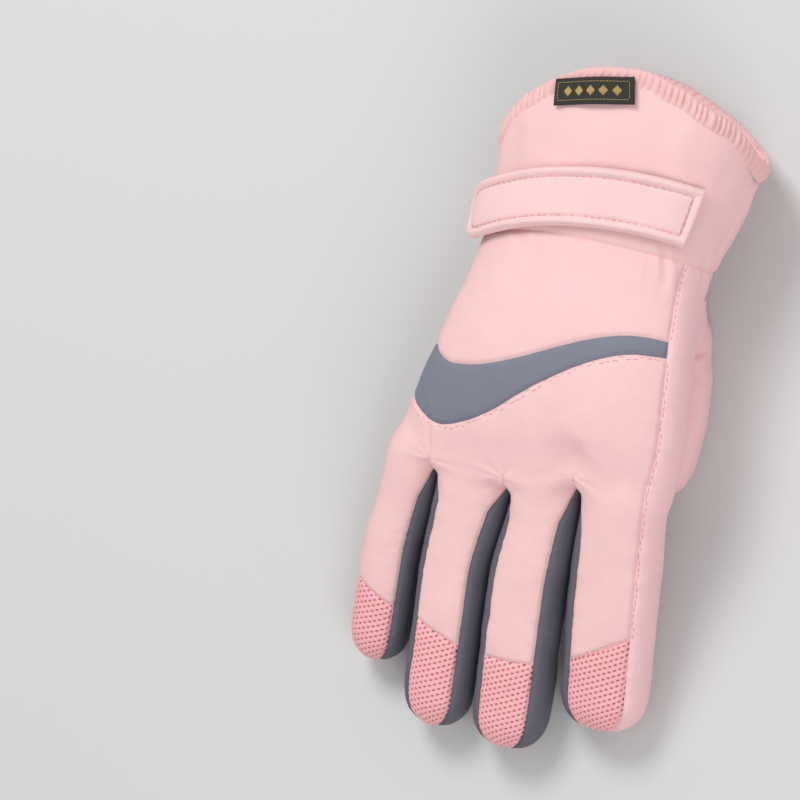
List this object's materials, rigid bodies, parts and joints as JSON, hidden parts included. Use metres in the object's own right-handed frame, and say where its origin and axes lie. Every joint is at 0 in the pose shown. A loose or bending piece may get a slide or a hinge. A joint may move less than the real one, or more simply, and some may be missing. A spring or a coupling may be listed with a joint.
{
  "type": "ski glove",
  "caption": "Padded ski glove for the right hand, with jointed fingers and thumb, a flared cuff with a gathered hem and a wrist strap.",
  "frame": {"origin": "on the floor, under the middle of the glove's bounding box, with the glove lying palm down", "axes": "+Y towards the fingertips, +Z out of the back of the hand, thumb on the -X side"},
  "size_m": [0.1312, 0.2622, 0.074],
  "materials": {
    "pink_nylon": "plain weave, soft sheen",
    "palm_shell": "plain weave with a dry hand",
    "grey_nylon": "plain weave",
    "grip_palm": "rubbery coated fabric",
    "dented_grip": "coated fabric with a pattern of small dents",
    "membrane": "thin film",
    "padding": "lofted fibre",
    "fleece": "short pile",
    "elastic": "knitted tape",
    "label": "woven satin",
    "hook_tape": "fine hooks",
    "loop_tape": "brushed loops"
  },
  "bodies": {
    "hand": {"back_lower_panel": "pink_nylon", "back_wave_band": "grey_nylon", "back_upper_panel": "pink_nylon", "palm_panel": "palm_shell", "index_side_panel": "pink_nylon", "palm_grip_patch": "grip_palm", "thumb_gusset": "pink_nylon", "hand_membrane": "membrane", "hand_padding": "padding", "hand_lining": "fleece"},
    "cuff": {"cuff_back_panel": "pink_nylon", "cuff_palm_panel": "pink_nylon", "cuff_hem": "pink_nylon", "cuff_elastics": "elastic", "cuff_padding": "padding", "cuff_lining": "fleece", "woven_label": "label", "strap_loop_patch": "loop_tape"},
    "strap": {"wrist_strap": "pink_nylon", "strap_hook_patch": "hook_tape"},
    "index_finger": {"index_back": "pink_nylon", "index_palm": "palm_shell", "index_outer_side": "pink_nylon", "index_fourchette": "grey_nylon", "index_liner": "fleece"},
    "index_tip": {"index_tip_patch": "dented_grip", "index_tip_palm": "palm_shell", "index_tip_outer_side": "pink_nylon", "index_tip_fourchette": "grey_nylon", "index_tip_liner": "fleece"},
    "middle_finger": {"middle_back": "pink_nylon", "middle_palm": "palm_shell", "middle_fourchettes": "grey_nylon", "middle_liner": "fleece"},
    "middle_tip": {"middle_tip_patch": "dented_grip", "middle_tip_palm": "palm_shell", "middle_tip_fourchettes": "grey_nylon", "middle_tip_liner": "fleece"},
    "ring_finger": {"ring_back": "pink_nylon", "ring_palm": "palm_shell", "ring_fourchettes": "grey_nylon", "ring_liner": "fleece"},
    "ring_tip": {"ring_tip_patch": "dented_grip", "ring_tip_palm": "palm_shell", "ring_tip_fourchettes": "grey_nylon", "ring_tip_liner": "fleece"},
    "little_finger": {"little_back": "pink_nylon", "little_palm": "palm_shell", "little_fourchette": "grey_nylon", "little_liner": "fleece"},
    "little_tip": {"little_tip_patch": "dented_grip", "little_tip_palm": "palm_shell", "little_tip_fourchette": "grey_nylon", "little_tip_liner": "fleece"},
    "thumb": {"thumb_outer": "pink_nylon", "thumb_inner": "palm_shell", "thumb_liner": "fleece"},
    "thumb_tip": {"thumb_tip_outer": "pink_nylon", "thumb_tip_inner": "palm_shell", "thumb_tip_liner": "fleece"}
  },
  "joints": [
    {"name": "wrist_bend", "type": "hinge", "parent": "hand", "child": "cuff", "pos_m": [-0.0062, -0.0536, 0.0405], "axis": [1, 0, 0], "range_deg": [-25, 25]},
    {"name": "strap_peel", "type": "hinge", "parent": "cuff", "child": "strap", "pos_m": [-0.0481, -0.0775, 0.05803], "axis": [0, -1, 0], "range_deg": [0, 50]},
    {"name": "index_root", "type": "hinge", "parent": "hand", "child": "index_finger", "pos_m": [-0.03795, 0.0369, 0.03228], "axis": [-0.9986, -0.0523, 0], "range_deg": [-8, 60]},
    {"name": "index_curl", "type": "hinge", "parent": "index_finger", "child": "index_tip", "pos_m": [-0.03961, 0.06857, 0.02259], "axis": [-0.9986, -0.0523, 0], "range_deg": [-12, 70]},
    {"name": "middle_root", "type": "hinge", "parent": "hand", "child": "middle_finger", "pos_m": [-0.00436, 0.03705, 0.03276], "axis": [-0.9997, -0.0244, 0], "range_deg": [-8, 60]},
    {"name": "middle_curl", "type": "hinge", "parent": "middle_finger", "child": "middle_tip", "pos_m": [-0.00532, 0.07613, 0.02273], "axis": [-0.9997, -0.0244, 0], "range_deg": [-12, 70]},
    {"name": "ring_root", "type": "hinge", "parent": "hand", "child": "ring_finger", "pos_m": [0.02533, 0.03704, 0.03271], "axis": [-1, -0.007, 0], "range_deg": [-8, 60]},
    {"name": "ring_curl", "type": "hinge", "parent": "ring_finger", "child": "ring_tip", "pos_m": [0.02506, 0.07561, 0.02259], "axis": [-1, -0.007, 0], "range_deg": [-12, 70]},
    {"name": "little_root", "type": "hinge", "parent": "hand", "child": "little_finger", "pos_m": [0.05167, 0.03681, 0.03199], "axis": [-0.999, 0.0454, 0], "range_deg": [-8, 60]},
    {"name": "little_curl", "type": "hinge", "parent": "little_finger", "child": "little_tip", "pos_m": [0.05304, 0.06685, 0.02187], "axis": [-0.999, 0.0454, 0], "range_deg": [-12, 70]},
    {"name": "thumb_swing", "type": "hinge", "parent": "hand", "child": "thumb", "pos_m": [-0.0379, -0.0236, 0.0102], "axis": [0, 0, 1], "range_deg": [-10, 45]},
    {"name": "thumb_curl", "type": "hinge", "parent": "thumb", "child": "thumb_tip", "pos_m": [-0.03563, 0.0023, 0.0102], "axis": [0, 0, -1], "range_deg": [-6, 50]}
  ]
}
